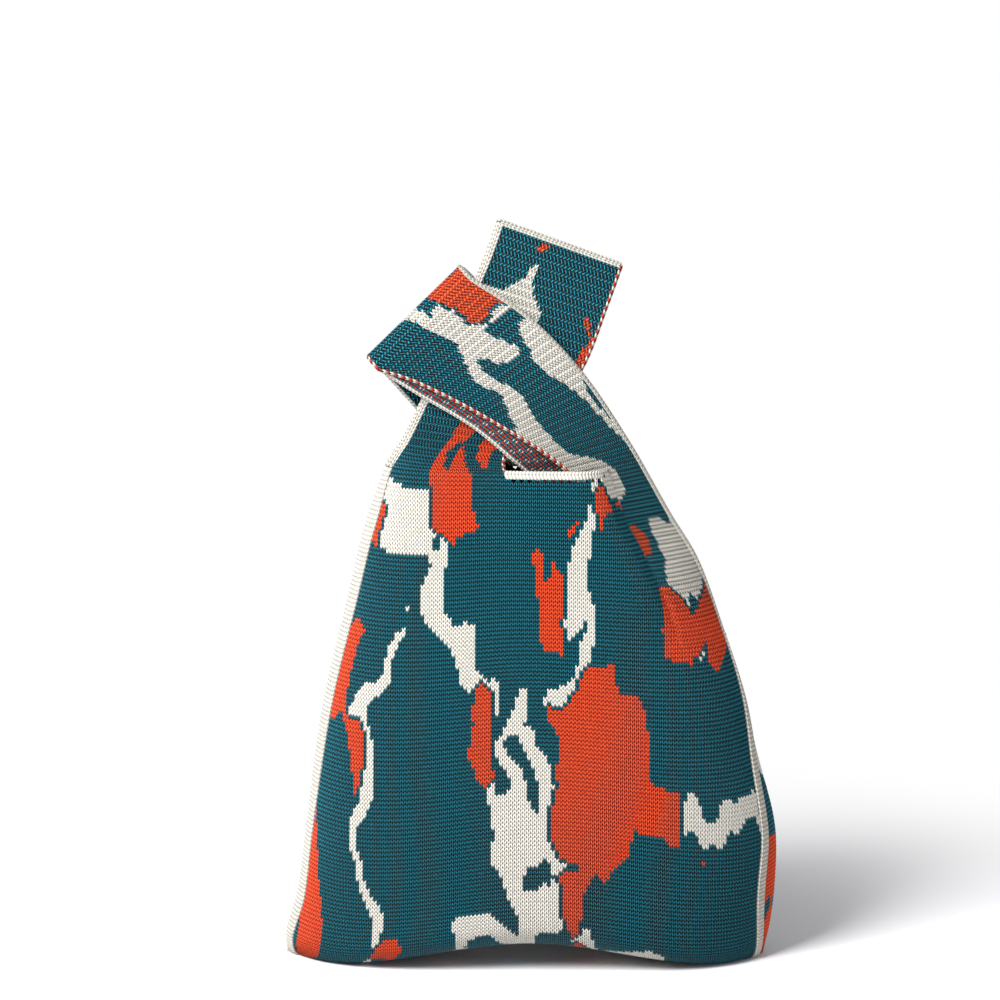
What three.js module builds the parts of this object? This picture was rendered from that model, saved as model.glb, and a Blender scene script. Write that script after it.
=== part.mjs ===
// A knitted tote bag with one long and one short handle, in millimetres, +Z up, front towards -Y.
// The bag stands on two corner lobes. Each handle is a double band: its front half grows out of the
// front panel and its back half out of the back panel. The short handle crosses in front of the long
// one, folds round its left edge and lies flat behind it, which closes the bag.
import * as THREE from 'three';

// Driving dimensions of the fabric
const fabricThickness = 2.2;
const layerGap = 0.5;         // air between two layers of fabric that lie on each other
const seamClearance = 0.3;    // between a linked seam and the panel edges that it joins
const seamThickness = 2.0;
const bandHeight = 3.2;       // of the bound-off band along the neck
const bandProud = 0.4;        // how far that band is thicker than the fabric on each side

// Driving dimensions of the body
const baseDepth = 90;         // front to back where the body is fullest
const bellyHeight = 52;       // how far above the bottom the body is fullest
const neckDepth = 48;         // front to back at the neck
const neckHeight = 226;       // of the neck's edge above the floor
const neckLeft = -11;
const neckRight = 31;
const bottomRise = 9;         // how far the middle of the bottom is clear of the floor
const bottomFlatness = 0.42;  // 1 is an elliptical underside, less is flatter
const footReach = 88;         // from the middle to the lowest point of each corner lobe
const footPress = 1.8;        // how much of each lobe the floor presses flat
const cornerWidth = 26;       // from there to the outer end of the lobe
const cornerLift = 4;         // how far the lobe has risen at its outer end
const crownSquareness = 2.6;  // of the body's section: higher is fuller towards the sides
const crownRoundness = 0.62;
const underside = 0.36;       // share of a panel's rows that lie below the belly
const taperEnd = 1.25;        // the taper to the neck is cut off before it has levelled out
const shoulderHeight = 150;   // where the right shoulder leaves the body
const leftSide = [[0, -110.4], [10, -111], [28, -106], [58, -101.9], [103, -95.6], [129, -90.5],
  [175, -78.7], [222, -66.9], [252, -53]];
const rightSide = [[0, 107.5], [16, 110.1], [40, 111], [60, 109.7], [92, 103.7], [147, 92.4],
  [183, 76], [204.5, 63.2], [239, 43.7]];

// Driving dimensions of the handles
const handleWidth = 57;
const longHandleTop = 320;    // height of the fold line's left end, where the long handle can flop
const longHandleEnd = 18.5;   // from that fold line to the handle's linked end
const longHandleTilt = 19.7;  // degrees that the long handle's end leans to the right
const tailLength = 50;        // of the short handle behind the long one
const tailTurn = 50;          // degrees below level that the tail points
const tailLean = 0.32;        // how far the tail leans back for each length that it goes down
const knotFront = -16;        // y of the foremost layer where the handles cross
const hemRound = 0.3;         // least thickness left where the end's lower edge is rounded, at its tip
const bowFade = 12;           // how fast the long handle loses the panel's curve as it rises

const degree = Math.PI / 180;
const layerPitch = fabricThickness + layerGap;
const seamWidth = 2 * fabricThickness + layerGap;
const edgeInset = seamThickness + seamClearance;
const materials = {
  fabric: { color: 0x1f6472, roughness: 0.95, metalness: 0 },
  border: { color: 0xe6ddcf, roughness: 0.95, metalness: 0 },
};

// Smooth curve through [key, value] rows, read at any key
function through(rows, key) {
  const last = rows.length - 1;
  let i = 0;
  while (i < last - 1 && key > rows[i + 1][0]) i += 1;
  const slope = (k) => {
    const a = rows[Math.max(k - 1, 0)];
    const b = rows[Math.min(k + 1, last)];
    return (b[1] - a[1]) / (b[0] - a[0]);
  };
  const span = rows[i + 1][0] - rows[i][0];
  const t = Math.min(Math.max((key - rows[i][0]) / span, 0), 1);
  const rise = rows[i + 1][1] - rows[i][1];
  const m0 = slope(i) * span;
  const m1 = slope(i + 1) * span;
  return rows[i][1] + t * (m0 + t * (3 * rise - 2 * m0 - m1 + t * (m0 + m1 - 2 * rise)));
}

const mix = (a, b, t) => a + (b - a) * t;
const smooth = (a, b, x) => THREE.MathUtils.smoothstep(x, a, b);
const point = (x, y, z) => new THREE.Vector3(x, y, z);

// Signed volume of a closed mesh, which is negative where its faces point inwards
function volume(positions, index) {
  const corner = (k) => new THREE.Vector3().fromArray(positions, 3 * index[k]);
  let sum = 0;
  for (let k = 0; k < index.length; k += 3) sum += corner(k).dot(corner(k + 1).cross(corner(k + 2)));
  return sum / 6;
}

// Closed shell between two grids of points; its faces are turned outwards whichever way the grid runs
function shell(outer, inner, columns, rows) {
  const positions = [];
  const index = [];
  for (const face of [outer, inner]) {
    for (let j = 0; j <= rows; j += 1) {
      for (let i = 0; i <= columns; i += 1) {
        positions.push(...face(i / columns, j / rows).toArray());
      }
    }
  }
  const wide = columns + 1;
  const layer = wide * (rows + 1);
  const quad = (a, b, c, d) => index.push(a, b, c, a, c, d);
  for (let j = 0; j < rows; j += 1) {
    for (let i = 0; i < columns; i += 1) {
      const a = j * wide + i;
      quad(a, a + 1, a + wide + 1, a + wide);
      quad(layer + a, layer + a + wide, layer + a + wide + 1, layer + a + 1);
    }
  }
  for (let i = 0; i < columns; i += 1) {
    const top = rows * wide + i;
    quad(i, layer + i, layer + i + 1, i + 1);
    quad(top, top + 1, layer + top + 1, layer + top);
  }
  for (let j = 0; j < rows; j += 1) {
    const left = j * wide;
    const right = left + columns;
    quad(left, left + wide, layer + left + wide, layer + left);
    quad(right, layer + right, layer + right + wide, right + wide);
  }
  const geometry = new THREE.BufferGeometry();
  geometry.setAttribute('position', new THREE.Float32BufferAttribute(positions, 3));
  geometry.setIndex(volume(positions, index) < 0 ? index.reverse() : index);
  return geometry;
}

const group = new THREE.Group();

function add(name, geometry, finish) {
  const mesh = new THREE.Mesh(geometry, new THREE.MeshStandardMaterial(finish));
  mesh.name = name;
  group.add(mesh);
}

// Body panels: depth grows from the side seams to a crown and from the bottom seam to the belly
const insideLeft = (z) => through(leftSide, z) + edgeInset;
const insideRight = (z) => through(rightSide, z) - edgeInset;
const crown = (u) => (1 - Math.abs(2 * u - 1) ** crownSquareness) ** crownRoundness;
const bottomHeight = (u) => {
  const x = mix(insideLeft(0), insideRight(0), u);
  const toFoot = smooth(0, footReach, Math.abs(x));
  const toCorner = smooth(footReach, footReach + cornerWidth, Math.abs(x));
  return mix(bottomRise, -footPress, toFoot) + cornerLift * toCorner;
};
const neckShare = (x) => (x - insideLeft(neckHeight)) / (insideRight(neckHeight) - insideLeft(neckHeight));
const neckEnd = neckShare(neckRight);
const shoulderStart = 0.84;
const topHeight = (u) => mix(neckHeight, shoulderHeight, smooth(neckEnd, shoulderStart, u));

// Point of a panel on its outer face, or one fabric thickness inside it
function panelPoint(side, u, v, inset) {
  const low = bottomHeight(u);
  const belly = low + bellyHeight;
  const fullness = crown(u);
  const half = baseDepth / 2 - inset;
  let z;
  let depth;
  if (v < underside) {
    const angle = (v / underside) * Math.PI / 2;
    z = belly - (bellyHeight - inset) * Math.max(Math.cos(angle), 0) ** bottomFlatness;
    depth = half * Math.sin(angle);
  } else {
    const t = (v - underside) / (1 - underside);
    z = mix(belly, topHeight(u), t);
    const share = smooth(0, taperEnd, (z - belly) / (neckHeight - belly)) / smooth(0, taperEnd, 1);
    depth = mix(half, neckDepth / 2 - inset, share);
  }
  const left = insideLeft(z) + inset;
  const right = insideRight(z) - inset;
  const y = side * (depth * fullness + seamClearance);
  return point(mix(left, right, u), y, Math.max(z, inset));
}

// Part of a panel between two rows. The knit runs on unbroken from the underside to the upper part;
// they are two nodes so that each has a simple shape for collision.
function panel(side, from, to, rows) {
  const face = (inset) => (u, v) => panelPoint(side, u, mix(from, to, v), inset);
  return shell(face(0), face(fabricThickness), 26, rows);
}

// Ruled band between two edges, each a smooth curve through a few points
function edgeCurve(points) {
  const curve = new THREE.CatmullRomCurve3(points, false, 'centripetal');
  return (t) => curve.getPoint(t);
}

const ruled = (leftEdge, rightEdge) => (u, v) => leftEdge(v).lerp(rightEdge(v), u);
const behind = (grid, y) => (u, v) => grid(u, v).add(point(0, y, 0));
const layerY = (count) => knotFront + count * layerPitch;

// Front face of a handle's layer where it grows out of its panel
const rootY = (side, y) => (side < 0 ? y : y - fabricThickness);
const rootEdgeY = (side) => (side < 0 ? -seamClearance - fabricThickness : seamClearance);

// Narrow strip that closes the outer edges of two layers, outside them
function edgeStrip(edge, sign, steps) {
  const middle = (v) => edge(v).add(point(0, seamWidth / 2, 0));
  const way = (v) => {
    const run = edge(Math.min(v + 0.01, 1)).sub(edge(Math.max(v - 0.01, 0)));
    return point(run.z, 0, -run.x).normalize().multiplyScalar(sign);
  };
  const face = (lift) => (u, v) => middle(v).add(point(0, (u - 0.5) * seamWidth, 0))
    .addScaledVector(way(v), seamClearance + lift);
  return shell(face(0), face(seamThickness), 2, steps);
}

// Long handle: layers 2 and 3 of the crossing, leaning right, up to its fold line
const along = point(Math.sin(longHandleTilt * degree), 0, Math.cos(longHandleTilt * degree));
const across = point(Math.cos(longHandleTilt * degree), 0, -Math.sin(longHandleTilt * degree));
const foldY = layerY(3) - layerGap / 2;
const foldLeft = point(-20.5, foldY, longHandleTop);
const foldRadius = fabricThickness + layerGap / 2;
const stopBelow = foldRadius + seamClearance;
const longHandleStop = (reach, y) => foldLeft.clone().addScaledVector(across, reach)
  .addScaledVector(along, -stopBelow).setY(y);
const longHandleRoot = neckShare(neckLeft - 1);

function longHandleLeft(side) {
  const y = layerY(side < 0 ? 2 : 3);
  const root = panelPoint(side, 0, 1, 0).add(point(0, 0, seamClearance)).setY(rootEdgeY(side));
  return edgeCurve([root, point(-50.5, mix(root.y, y, 0.6), 252.3), longHandleStop(0, y)]);
}

function longHandleRight(side) {
  const y = layerY(side < 0 ? 2 : 3);
  const root = panelPoint(side, longHandleRoot, 1, 0).add(point(0, 0, seamClearance));
  root.setY(rootY(side, root.y));
  const share = side < 0 ? [0.7, 0.97, 1, 1] : [0.4, 0.7, 0.85, 0.94];
  const way = [[-13.2, 231], [-10.8, 236], [-2.5, 243], [5, 250]]
    .map(([x, z], i) => point(x, mix(root.y, y, share[i]), z));
  return edgeCurve([root, ...way, point(21.8, y, 272), longHandleStop(handleWidth, y)]);
}

function longHandleLayer(side) {
  const grid = ruled(longHandleLeft(side), longHandleRight(side));
  const bow = (u) => rootY(side, panelPoint(side, u * longHandleRoot, 1, 0).y) - grid(u, 0).y;
  const edgeHold = (u) => smooth(0, 0.12, u);
  const bowed = (u, v) => grid(u, v).add(point(0, bow(u) * edgeHold(u) * (1 - v) ** bowFade, 0));
  return shell(bowed, behind(bowed, fabricThickness), 10, 26);
}

// The part above the fold line turns about it: its lower edge is a quarter round on that line
function longHandleEndLayer(side) {
  const quarter = 0.25;
  const rise = (v) => (v < quarter ? -foldRadius * Math.cos((v / quarter) * (Math.PI / 2))
    : mix(0, longHandleEnd, (v - quarter) / (1 - quarter)));
  const face = (offset) => (u, v) => foldLeft.clone().addScaledVector(across, handleWidth * u)
    .addScaledVector(along, rise(v)).add(point(0, side * offset(v), 0));
  const rounded = (v) => Math.sqrt(Math.max(foldRadius ** 2 - Math.min(rise(v), 0) ** 2, 0));
  const outer = face((v) => Math.max(rounded(v), layerGap / 2 + hemRound));
  const inner = face(() => layerGap / 2);
  return shell(outer, inner, 4, 12);
}

// Linked seams of that part: down its outer edge and across its end
function longHandleEndBorder() {
  const from = foldLeft.clone().setY(foldY - seamWidth / 2);
  const edge = (v) => from.clone().addScaledVector(along, longHandleEnd * v);
  return edgeStrip(edge, -1, 6);
}

function longHandleEndSeam() {
  const from = foldLeft.clone().setY(foldY - seamWidth / 2).addScaledVector(along, longHandleEnd);
  const reach = seamClearance + seamThickness;
  const edge = (v) => from.clone().addScaledVector(across, mix(-reach, handleWidth, v));
  return edgeStrip(edge, -1, 8);
}

// Short handle: layers 0 and 1 of the crossing, from the right shoulder up to the left
const cornerLow = point(-68.5, 0, 272.5);
const cornerHigh = point(-27.5, 0, 312.5);
const foldRun = cornerHigh.clone().sub(cornerLow).normalize();
const axisY = (layerY(0) + layerY(5) + fabricThickness) / 2;

function shortHandleHigh(side) {
  const lift = side < 0 ? 0 : layerPitch;
  const root = panelPoint(side, 1, 1, 0).add(point(0, 0, seamClearance)).setY(rootEdgeY(side));
  const depth = (share) => mix(rootEdgeY(-1), layerY(0), share) + lift;
  return edgeCurve([root, point(insideRight(183), depth(0.05), 183), point(61, depth(0.25), 204.5),
    point(42, depth(0.65), 238), point(20, depth(0.97), 270.5), point(-3.6, depth(1), 295),
    cornerHigh.clone().setY(depth(1))]);
}

// [x, z, share of the way from the panel's depth to the crossing's] along the neck side
const frontNeckSide = [[57, 166, 0.35], [45, 186, 0.5], [29, 213, 0.75], [16.8, 226, 0.9],
  [-17.7, 249.5, 0.98], [-52.8, 267.5, 1]];
const backNeckSide = [[57, 166, 0.3], [40, 190, 0.5], [18, 212, 0.8], [-6, 229.5, 1.01],
  [-26.4, 246.6, 1], [-52.8, 262.5, 1]];

function shortHandleLayer(side, neckSide) {
  const y = layerY(side < 0 ? 0 : 1);
  const root = panelPoint(side, shoulderStart + 0.01, 1, 0).add(point(0, 0, seamClearance));
  root.setY(rootY(side, root.y));
  const low = edgeCurve([root, ...neckSide.map(([x, z, share]) => point(x, mix(root.y, y, share), z)),
    cornerLow.clone().setY(y)]);
  const grid = ruled(low, shortHandleHigh(side));
  return shell(grid, behind(grid, fabricThickness), 8, 24);
}

// Quarter of the fold round the long handle's edge, on the handle's left end
function foldQuarter(layer) {
  const radius = axisY - layerY(layer);
  const out = point(-foldRun.z, 0, foldRun.x);
  const face = (r) => (u, v) => {
    const angle = u * (Math.PI / 2);
    return cornerLow.clone().lerp(cornerHigh, v).setY(axisY - r * Math.cos(angle))
      .addScaledVector(out, seamClearance + r * Math.sin(angle));
  };
  return shell(face(radius), face(radius - fabricThickness), 6, 4);
}

// Tail of the short handle: two layers behind the long handle, leaning off it as they go down
const tailWay = point(Math.cos(tailTurn * degree), tailLean, -Math.sin(tailTurn * degree));
const tailAt = (u, down, layer) => cornerLow.clone().lerp(cornerHigh, u)
  .addScaledVector(tailWay, down).add(point(0, layerY(layer), 0));

function tailLayer(layer) {
  const grid = (u, v) => tailAt(u, tailLength * (1 - v), layer);
  return shell(grid, behind(grid, fabricThickness), 4, 6);
}

const tailBorder = () => edgeStrip((v) => tailAt(1, tailLength * (1 - v), 4), 1, 6);
const tailEndSeam = () => edgeStrip((v) => tailAt(v, tailLength, 4), 1, 6);

// Linked seams of the body: down each side, and inside along the bottom
function sideSeam(side, edgeX, sign, to) {
  const edge = (v) => point(edgeX(mix(1, to, v)), -seamWidth / 2, mix(1, to, v));
  const face = (lift) => (u, v) => edge(v).add(point(sign * (seamClearance + lift), u * seamWidth, 0));
  return shell(face(0), face(seamThickness), 2, 40);
}

function bottomSeam() {
  const reach = 0.95;
  const face = (lift) => (u, v) => {
    const base = panelPoint(-1, mix(1 - reach, reach, v), 0, fabricThickness);
    return point(base.x, (0.5 - u) * seamWidth, base.z + 2 * seamClearance + lift);
  };
  return shell(face(0), face(seamThickness), 2, 20);
}

// Bound-off band that caps the neck between the two handles
function neckBand(side) {
  const from = neckShare(neckLeft + 1.5);
  const to = neckShare(neckRight - 1);
  const face = (inset) => (u, v) => panelPoint(side, mix(from, to, u), 1, inset)
    .add(point(0, 0, seamClearance + bandHeight * v));
  return shell(face(-bandProud), face(fabricThickness + bandProud), 8, 2);
}

add('front_panel', panel(-1, underside, 1, 12), materials.fabric);
add('back_panel', panel(1, underside, 1, 12), materials.fabric);
add('front_underside', panel(-1, 0, underside, 8), materials.fabric);
add('back_underside', panel(1, 0, underside, 8), materials.fabric);
add('left_side_seam', sideSeam(-1, insideLeft, -1, neckHeight - 1), materials.border);
add('right_side_seam', sideSeam(1, insideRight, 1, shoulderHeight), materials.border);
add('bottom_seam', bottomSeam(), materials.border);
add('front_neck_band', neckBand(-1), materials.border);
add('back_neck_band', neckBand(1), materials.border);
add('long_handle_front', longHandleLayer(-1), materials.fabric);
add('long_handle_back', longHandleLayer(1), materials.fabric);
add('long_handle_side_seam', edgeStrip(longHandleLeft(-1), -1, 20), materials.border);
add('long_handle_end_front', longHandleEndLayer(-1), materials.fabric);
add('long_handle_end_back', longHandleEndLayer(1), materials.fabric);
add('long_handle_end_border', longHandleEndBorder(), materials.border);
add('long_handle_end_seam', longHandleEndSeam(), materials.border);
add('short_handle_front', shortHandleLayer(-1, frontNeckSide), materials.fabric);
add('short_handle_back', shortHandleLayer(1, backNeckSide), materials.fabric);
add('short_handle_side_seam', edgeStrip(shortHandleHigh(-1), 1, 24), materials.border);
add('short_handle_fold_outer', foldQuarter(0), materials.fabric);
add('short_handle_fold_inner', foldQuarter(1), materials.fabric);
add('short_handle_tail_inner', tailLayer(4), materials.fabric);
add('short_handle_tail_outer', tailLayer(5), materials.fabric);
add('short_handle_tail_border', tailBorder(), materials.border);
add('short_handle_end_seam', tailEndSeam(), materials.border);

export default group;
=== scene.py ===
import math

import bpy
import mathutils
import numpy as np
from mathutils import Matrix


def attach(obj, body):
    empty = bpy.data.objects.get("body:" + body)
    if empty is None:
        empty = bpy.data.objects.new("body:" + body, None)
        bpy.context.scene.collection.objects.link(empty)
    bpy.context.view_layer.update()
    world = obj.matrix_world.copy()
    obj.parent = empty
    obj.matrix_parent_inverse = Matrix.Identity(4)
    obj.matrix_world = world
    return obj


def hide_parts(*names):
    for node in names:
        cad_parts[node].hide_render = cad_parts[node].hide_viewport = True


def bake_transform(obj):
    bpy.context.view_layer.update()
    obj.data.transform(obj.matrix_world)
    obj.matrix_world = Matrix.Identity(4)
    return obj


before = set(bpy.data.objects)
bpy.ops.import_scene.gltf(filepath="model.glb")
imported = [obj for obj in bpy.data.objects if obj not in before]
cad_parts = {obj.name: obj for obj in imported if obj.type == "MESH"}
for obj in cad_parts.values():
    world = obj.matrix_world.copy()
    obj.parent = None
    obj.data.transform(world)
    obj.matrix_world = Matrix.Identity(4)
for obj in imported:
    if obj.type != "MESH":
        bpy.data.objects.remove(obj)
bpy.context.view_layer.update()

# Sizes of the knit, in metres
MM = 0.001
WALE = 1.8 * MM
COURSE = 1.86 * MM
FABRIC = 2.2 * MM
GAP = 0.5 * MM
PITCH = FABRIC + GAP

# The body, as in the solids that it stands for. The sides are (height, x) in millimetres.
SIDE_LEFT = [(0, -108.1), (10, -108.7), (28, -103.7), (58, -99.6), (103, -93.3), (129, -88.2),
             (175, -76.4), (222, -64.6), (252, -50.7)]
SIDE_RIGHT = [(0, 105.2), (16, 107.8), (40, 108.7), (60, 107.4), (92, 101.4), (147, 90.1),
              (183, 73.7), (204.5, 60.9), (239, 41.4)]
BASE_DEPTH = 90 * MM
NECK_DEPTH = 48 * MM
BELLY_HEIGHT = 52 * MM
NECK_HEIGHT = 226 * MM
SHOULDER_HEIGHT = 150 * MM
NECK_LEFT = -11 * MM
NECK_RIGHT = 31 * MM
FOOT_REACH = 88 * MM
BOTTOM_RISE = 9 * MM
BEND = 0.36                 # the share of a panel's v that its underside takes

# The knit's own form: how far it stands out from the panels' edges, as (height, distance), how its two
# bottom lobes and their corners lie, and how boxy it is across at the bottom and at the belly
BULGE_LEFT = [(0, 4), (60, 3.6), (120, 4), (160, 4.4), (190, 4.8), (215, 3.2), (252, 1.5)]
BULGE_RIGHT = [(0, 1.5), (40, 3.6), (64, 4.4), (90, 2.6), (118, 0.8), (150, -1.8), (185, -0.6),
               (239, 1.5)]
LOBE_DROP = 1.8 * MM        # below the ground, on which the lobes lie flat
CORNER_RUN = 26 * MM
CORNER_RISE = 2 * MM
BOTTOM_BOX, BELLY_BOX, CROWN_ROUND = 6.2, 2.6, 0.62
UNDERSIDE_TURN = 0.2

# The knit: wales and courses of each piece, and the seeds of its pattern
BODY_WALES, SHORT_WALES = 166, 32
SHORT_COURSES, LONG_COURSES, END_COURSES = 103, 51, 10
OUTER_TURN, INNER_TURN, TAIL_COURSES = 12, 6, 27
FRONT_SEED, BACK_SEED = 819, 1104

# The handles, as in the solids
HANDLE_WIDTH = 57 * MM
KNOT_FRONT = -16 * MM
TILT = math.radians(19.7)
FOLD_LEFT = np.array([-20.5, 0, 320]) * MM
END_LENGTH = 18.5 * MM
CORNER_LOW = np.array([-68.5, 0, 272.5]) * MM
CORNER_HIGH = np.array([-27.5, 0, 312.5]) * MM
TAIL_LENGTH = 50 * MM
TAIL_TURN = math.radians(50)
TAIL_LEAN = 0.32

# Yarn colours
TEAL = "#0C4C58"
ORANGE = "#E64422"
CREAM = "#EEE9DC"


def linear(code):
    """sRGB hex colour as linear RGBA."""
    parts = [int(code[i:i + 2], 16) / 255 for i in (1, 3, 5)]
    return tuple(c / 12.92 if c <= 0.04045 else ((c + 0.055) / 1.055) ** 2.4 for c in parts) + (1.0,)


def smooth(a, b, x):
    """Smooth step from 0 at a to 1 at b."""
    t = np.clip((x - a) / (b - a), 0, 1)
    return t * t * (3 - 2 * t)


def mix(a, b, t):
    """a at t = 0 and b at t = 1."""
    return a + (b - a) * t


def through(rows, key):
    """Cubic Hermite curve through (key, value) rows in millimetres, read at an array of metres."""
    keys, values = np.array(rows, float).T * MM
    slopes = np.empty_like(values)
    slopes[1:-1] = (values[2:] - values[:-2]) / (keys[2:] - keys[:-2])
    slopes[0] = (values[1] - values[0]) / (keys[1] - keys[0])
    slopes[-1] = (values[-1] - values[-2]) / (keys[-1] - keys[-2])
    i = np.clip(np.searchsorted(keys, key) - 1, 0, len(keys) - 2)
    span = keys[i + 1] - keys[i]
    t = np.clip((key - keys[i]) / span, 0, 1)
    rise = values[i + 1] - values[i]
    m0, m1 = slopes[i] * span, slopes[i + 1] * span
    return values[i] + t * (m0 + t * (3 * rise - 2 * m0 - m1 + t * (m0 + m1 - 2 * rise)))


def curve(points):
    """Centripetal Catmull-Rom curve through points, as a function of an array of 0 to 1."""
    p = np.array(points, float)
    p = np.vstack([2 * p[0] - p[1], p, 2 * p[-1] - p[-2]])
    knots = np.concatenate([[0], np.cumsum(np.sqrt(np.linalg.norm(np.diff(p, axis=0), axis=1)))])

    def at(t):
        t = np.clip(np.asarray(t, float), 0, 1)
        count = len(p) - 3
        i = np.clip((t * count).astype(int), 0, count - 1)
        local = t * count - i
        k0, k1, k2, k3 = (knots[i + n][..., None] for n in range(4))
        p0, p1, p2, p3 = (p[i + n] for n in range(4))
        x = k1 + local[..., None] * (k2 - k1)
        a1 = (k1 - x) / (k1 - k0) * p0 + (x - k0) / (k1 - k0) * p1
        a2 = (k2 - x) / (k2 - k1) * p1 + (x - k1) / (k2 - k1) * p2
        a3 = (k3 - x) / (k3 - k2) * p2 + (x - k2) / (k3 - k2) * p3
        b1 = (k2 - x) / (k2 - k0) * a1 + (x - k0) / (k2 - k0) * a2
        b2 = (k3 - x) / (k3 - k1) * a2 + (x - k1) / (k3 - k1) * a3
        return (k2 - x) / (k2 - k1) * b1 + (x - k1) / (k2 - k1) * b2

    return at


def even(line, count):
    """count points at equal steps along a curve."""
    samples = 1200
    points = line(np.linspace(0, 1, samples))
    length = np.concatenate([[0], np.cumsum(np.linalg.norm(np.diff(points, axis=0), axis=1))])
    at = np.linspace(0, length[-1], count)
    return np.stack([np.interp(at, length, points[:, axis]) for axis in range(3)], axis=1)


def value_noise(x, y, seed):
    """Smooth noise from -1 to 1: random values on a lattice, joined by smooth steps."""
    size = 64
    table = np.random.RandomState(seed).uniform(-1, 1, (size, size))
    i, j = np.floor(x).astype(int), np.floor(y).astype(int)
    fx, fy = x - i, y - j
    fx, fy = fx * fx * (3 - 2 * fx), fy * fy * (3 - 2 * fy)
    i0, i1, j0, j1 = i % size, (i + 1) % size, j % size, (j + 1) % size
    low, high = mix(table[i0, j0], table[i1, j0], fx), mix(table[i0, j1], table[i1, j1], fx)
    return mix(low, high, fy)


# Surfaces. Each takes arrays u (left to right) and v (bottom to top) from 0 to 1 and gives points.

def crown(u, v):
    """How full the body is across: 0 at the side seams, 1 in the middle. It is 1 less a power of the
    distance from the middle, rounded by another power; the first falls from bottom to belly."""
    power = mix(BOTTOM_BOX, BELLY_BOX, smooth(0, BEND, v))
    return (1 - np.abs(2 * u - 1) ** power) ** CROWN_ROUND


def bottom_height(u):
    """Height of the bottom seam: smooth steps from the raised middle down to the two lobes and a little
    up again at their outer corners."""
    x = np.abs(mix(through(SIDE_LEFT, 0 * u), through(SIDE_RIGHT, 0 * u), u))
    to_foot = smooth(0, FOOT_REACH, x)
    to_corner = smooth(FOOT_REACH, FOOT_REACH + CORNER_RUN, x)
    return mix(BOTTOM_RISE, -LOBE_DROP, to_foot) + CORNER_RISE * to_corner


def panel(side, u, v):
    """Body panel. Up to v = BEND an underside, whose depth goes as a sine and whose height as a low power
    of the cosine, so that it lies flat and turns up late; then a slow smooth taper to the neck."""
    low = bottom_height(u)
    belly = low + BELLY_HEIGHT
    angle = np.clip(v / BEND, 0, 1) * math.pi / 2
    t = np.clip((v - BEND) / (1 - BEND), 0, 1.2)
    turned = belly - BELLY_HEIGHT * np.maximum(np.cos(angle), 0) ** UNDERSIDE_TURN
    z = np.where(v < BEND, turned, mix(belly, NECK_HEIGHT, t))
    share = smooth(0, 1.25, (z - belly) / (NECK_HEIGHT - belly)) / smooth(0, 1.25, 1.0)
    depth = np.where(v < BEND, BASE_DEPTH / 2 * np.sin(angle), mix(BASE_DEPTH / 2, NECK_DEPTH / 2, share))
    left = through(SIDE_LEFT, z) - through(BULGE_LEFT, z)
    right = through(SIDE_RIGHT, z) + through(BULGE_RIGHT, z)
    x = mix(left, right, u)
    y = depth * crown(u, v)
    return np.stack([x, side * y, np.maximum(z, 0)], axis=-1)


# The front panel's crest, where it bulges over the short handle's root: (height, x)
CREST = [(140, 68), (150, 66), (165, 60.5), (187, 49.5), (203, 40.5), (224, 33), (240, 30)]


def dressed(points, side):
    """Folds and soft unevenness of the filled bag, as bell curves and noise in millimetres: the crest
    swells and rolls back over what lies behind it, a shallow valley runs down from the neck on the front
    and the knit waves by about a millimetre. Valley and waves fade out towards the side edges."""
    x, y, z = points[..., 0], points[..., 1], points[..., 2]
    past = (x - through(CREST, z)) / MM
    roll = smooth(146 * MM, 176 * MM, z)
    swell = 3.2 * np.exp(-((past + 9) / 9) ** 2) - 6.5 * smooth(-3, 6, past)
    body = smooth(4 * MM, 40 * MM, z)
    from_valley = x / MM + 22 + 0.12 * (z / MM - 226)
    valley = -3.0 * np.exp(-(from_valley / 16) ** 2) * smooth(70 * MM, 226 * MM, z)
    waves = 1.3 * value_noise(x / (34 * MM) + 9.3 * side, z / (52 * MM), 5)
    out = (roll * swell + body * (valley * (side < 0) + waves) * smooth(0, 12 * MM, np.abs(y))) * MM
    return np.stack([x, y + side * out, z], axis=-1)


COLUMNS_ACROSS = 321        # of a face of the body, before its stitches are laid out
OVERLAP = 100               # columns by which a face runs on over the other one


class Body:
    """One face of the body with courses v from the bottom seam up and arc length a across from x = 0.
    Each course runs on round both side edges on to the other face."""

    def __init__(self, side, v):
        u = (1 - np.cos(np.linspace(0, math.pi, COLUMNS_ACROSS))) / 2
        rows = panel(side, u[None, :], v[:, None])
        over = rows * [1, -1, 1]
        rows, over = dressed(rows, side), dressed(over, -side)
        self.rows = np.concatenate([over[:, OVERLAP:0:-1], rows, over[:, -2:-2 - OVERLAP:-1]], axis=1)
        steps = np.linalg.norm(np.diff(self.rows, axis=1), axis=-1)
        self.arc = np.concatenate([np.zeros((len(v), 1)), np.cumsum(steps, axis=1)], axis=1)
        self.left_end = self.arc[:, OVERLAP].copy()
        self.right_end = self.arc[:, -1 - OVERLAP].copy()
        for i in range(len(v)):
            zero = np.interp(0, *self.face(i))
            self.arc[i] -= zero
            self.left_end[i] -= zero
            self.right_end[i] -= zero

    def face(self, i):
        """x and arc length along course i, on this face only."""
        return self.rows[i, OVERLAP:-OVERLAP, 0], self.arc[i, OVERLAP:-OVERLAP]

    def at(self, a):
        """Points at arc lengths a, one row of a to each course."""
        out = np.empty(a.shape + (3,))
        for i, row in enumerate(self.rows):
            for axis in range(3):
                out[i, :, axis] = np.interp(a[i], self.arc[i], row[:, axis])
        return out

    def height(self):
        """Height of each course, in the middle of the face."""
        return self.rows[:, OVERLAP + COLUMNS_ACROSS // 2, 2]


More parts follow.
